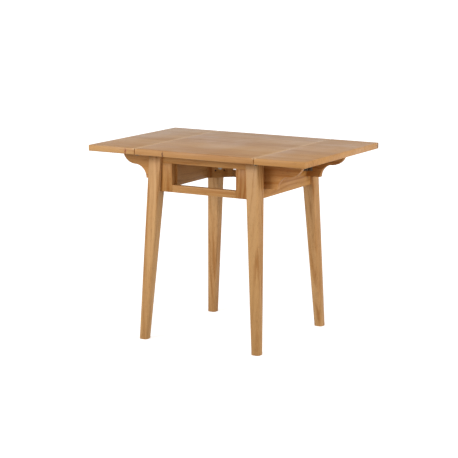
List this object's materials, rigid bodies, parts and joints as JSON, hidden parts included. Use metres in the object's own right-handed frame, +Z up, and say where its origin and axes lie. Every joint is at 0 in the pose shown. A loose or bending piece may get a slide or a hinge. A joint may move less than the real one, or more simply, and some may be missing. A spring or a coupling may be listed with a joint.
{
  "type": "drop leaf table",
  "caption": "Rectangular wooden drop leaf table: fixed centre on four splayed legs, a hinged leaf at each end, and swing-out scrolled brackets under the leaves.",
  "frame": {"origin": "on the floor under the middle of the table", "axes": "+X along the table's length from the left leaf to the right leaf, +Y from the front end frame to the back, +Z up"},
  "size_m": [0.9, 0.62, 0.725],
  "materials": {
    "top_wood": "oiled hardwood, low sheen",
    "frame_wood": "oiled hardwood, low sheen",
    "hinge_steel": "zinc plated, dulled",
    "bolt_steel": "zinc plated"
  },
  "bodies": {
    "table_base": {"centre_panel": "top_wood", "front_left_leg": "frame_wood", "front_right_leg": "frame_wood", "back_left_leg": "frame_wood", "back_right_leg": "frame_wood", "left_apron": "frame_wood", "right_apron": "frame_wood", "front_upper_rail": "frame_wood", "front_lower_rail": "frame_wood", "front_left_stile": "frame_wood", "front_right_stile": "frame_wood", "back_upper_rail": "frame_wood", "back_lower_rail": "frame_wood", "back_left_stile": "frame_wood", "back_right_stile": "frame_wood", "front_left_corner_block": "frame_wood", "front_left_leg_stud": "bolt_steel", "front_left_flange_nut": "bolt_steel", "front_left_bracket_hinge_fixed_plate": "hinge_steel", "front_left_bracket_hinge_pin": "hinge_steel", "front_left_leaf_hinge_fixed_plate": "hinge_steel", "front_left_leaf_hinge_pin": "hinge_steel", "front_right_corner_block": "frame_wood", "front_right_leg_stud": "bolt_steel", "front_right_flange_nut": "bolt_steel", "front_right_bracket_hinge_fixed_plate": "hinge_steel", "front_right_bracket_hinge_pin": "hinge_steel", "front_right_leaf_hinge_fixed_plate": "hinge_steel", "front_right_leaf_hinge_pin": "hinge_steel", "back_left_corner_block": "frame_wood", "back_left_leg_stud": "bolt_steel", "back_left_flange_nut": "bolt_steel", "back_left_bracket_hinge_fixed_plate": "hinge_steel", "back_left_bracket_hinge_pin": "hinge_steel", "back_left_leaf_hinge_fixed_plate": "hinge_steel", "back_left_leaf_hinge_pin": "hinge_steel", "back_right_corner_block": "frame_wood", "back_right_leg_stud": "bolt_steel", "back_right_flange_nut": "bolt_steel", "back_right_bracket_hinge_fixed_plate": "hinge_steel", "back_right_bracket_hinge_pin": "hinge_steel", "back_right_leaf_hinge_fixed_plate": "hinge_steel", "back_right_leaf_hinge_pin": "hinge_steel"},
    "left_leaf_body": {"left_leaf": "top_wood", "front_left_leaf_hinge_moving_plate": "hinge_steel", "back_left_leaf_hinge_moving_plate": "hinge_steel"},
    "right_leaf_body": {"right_leaf": "top_wood", "front_right_leaf_hinge_moving_plate": "hinge_steel", "back_right_leaf_hinge_moving_plate": "hinge_steel"},
    "front_left_bracket_body": {"front_left_bracket": "frame_wood", "front_left_bracket_hinge_moving_plate": "hinge_steel"},
    "front_right_bracket_body": {"front_right_bracket": "frame_wood", "front_right_bracket_hinge_moving_plate": "hinge_steel"},
    "back_left_bracket_body": {"back_left_bracket": "frame_wood", "back_left_bracket_hinge_moving_plate": "hinge_steel"},
    "back_right_bracket_body": {"back_right_bracket": "frame_wood", "back_right_bracket_hinge_moving_plate": "hinge_steel"}
  },
  "joints": [
    {"name": "left_leaf_hinge", "type": "hinge", "parent": "table_base", "child": "left_leaf_body", "pos_m": [-0.2479, 0, 0.699], "axis": [0, 1, 0], "range_deg": [0, 3]},
    {"name": "right_leaf_hinge", "type": "hinge", "parent": "table_base", "child": "right_leaf_body", "pos_m": [0.2479, 0, 0.699], "axis": [0, -1, 0], "range_deg": [0, 3]},
    {"name": "front_left_bracket_hinge", "type": "hinge", "parent": "table_base", "child": "front_left_bracket_body", "pos_m": [-0.223, -0.1605, 0.6497], "axis": [0, 0, -1], "range_deg": [0, 90]},
    {"name": "front_right_bracket_hinge", "type": "hinge", "parent": "table_base", "child": "front_right_bracket_body", "pos_m": [0.223, -0.1605, 0.6497], "axis": [0, 0, 1], "range_deg": [0, 90]},
    {"name": "back_left_bracket_hinge", "type": "hinge", "parent": "table_base", "child": "back_left_bracket_body", "pos_m": [-0.223, 0.1605, 0.6497], "axis": [0, 0, 1], "range_deg": [0, 90]},
    {"name": "back_right_bracket_hinge", "type": "hinge", "parent": "table_base", "child": "back_right_bracket_body", "pos_m": [0.223, 0.1605, 0.6497], "axis": [0, 0, -1], "range_deg": [0, 90]}
  ]
}
